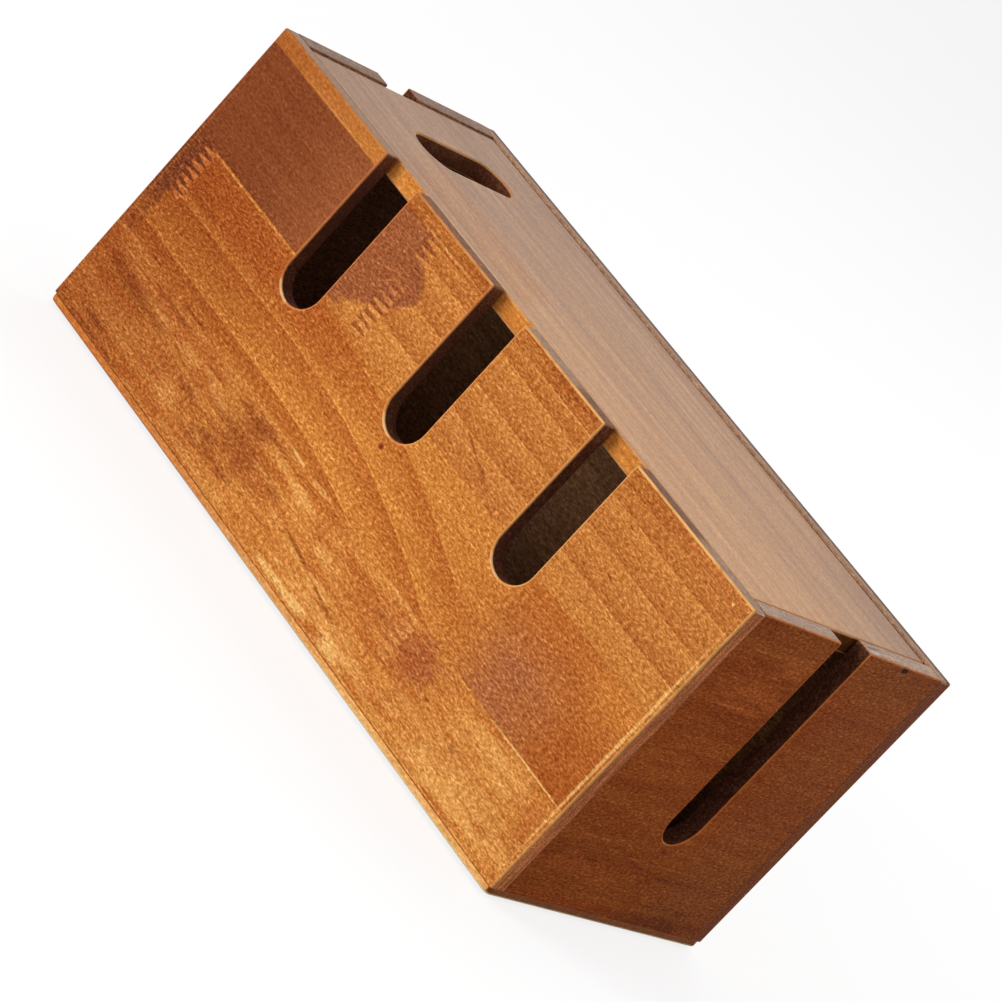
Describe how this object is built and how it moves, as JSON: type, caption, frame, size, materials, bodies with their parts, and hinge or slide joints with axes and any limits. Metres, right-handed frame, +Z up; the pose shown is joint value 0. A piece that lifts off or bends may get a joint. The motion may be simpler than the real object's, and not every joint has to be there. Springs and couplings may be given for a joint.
{
  "type": "cable management box",
  "caption": "Stained wooden cable box with open-topped lead slots in the front and both ends, and a drop-in lid with an obround finger hole.",
  "frame": {"origin": "centre of the footprint, on the surface that the pads stand on", "axes": "+X along the box, towards the end away from the finger hole; -Y out of the slotted front; +Z up"},
  "size_m": [0.3, 0.135, 0.1335],
  "materials": {
    "front_wood": "orange-brown stain, satin lacquer, edge-glued staves with finger joints",
    "back_wood": "orange-brown stain, satin lacquer",
    "end_wood": "brown stain, satin lacquer",
    "base_wood": "orange-brown stain, satin lacquer",
    "lid_wood": "brown stain, satin lacquer",
    "inside_wood": "brown stain, flat",
    "dowel_wood": "bare beech",
    "pin_steel": "zinc plated, flat heads",
    "pad_rubber": "matt black"
  },
  "bodies": {
    "box": {"front_panel": "front_wood", "back_panel": "back_wood", "left_end_panel": "end_wood", "right_end_panel": "end_wood", "base_board": "base_wood", "front_left_corner_block": "inside_wood", "front_right_corner_block": "inside_wood", "back_left_corner_block": "inside_wood", "back_right_corner_block": "inside_wood", "front_left_dowels": "dowel_wood", "front_right_dowels": "dowel_wood", "back_left_dowels": "dowel_wood", "back_right_dowels": "dowel_wood", "base_pins": "pin_steel", "front_left_pad": "pad_rubber", "front_right_pad": "pad_rubber", "back_left_pad": "pad_rubber", "back_right_pad": "pad_rubber"},
    "lid": {"lid": "lid_wood"}
  },
  "joints": [
    {"name": "lid_lift", "type": "slide", "parent": "box", "child": "lid", "axis": [0, 0, 1], "range_m": [0, 0.06]}
  ]
}
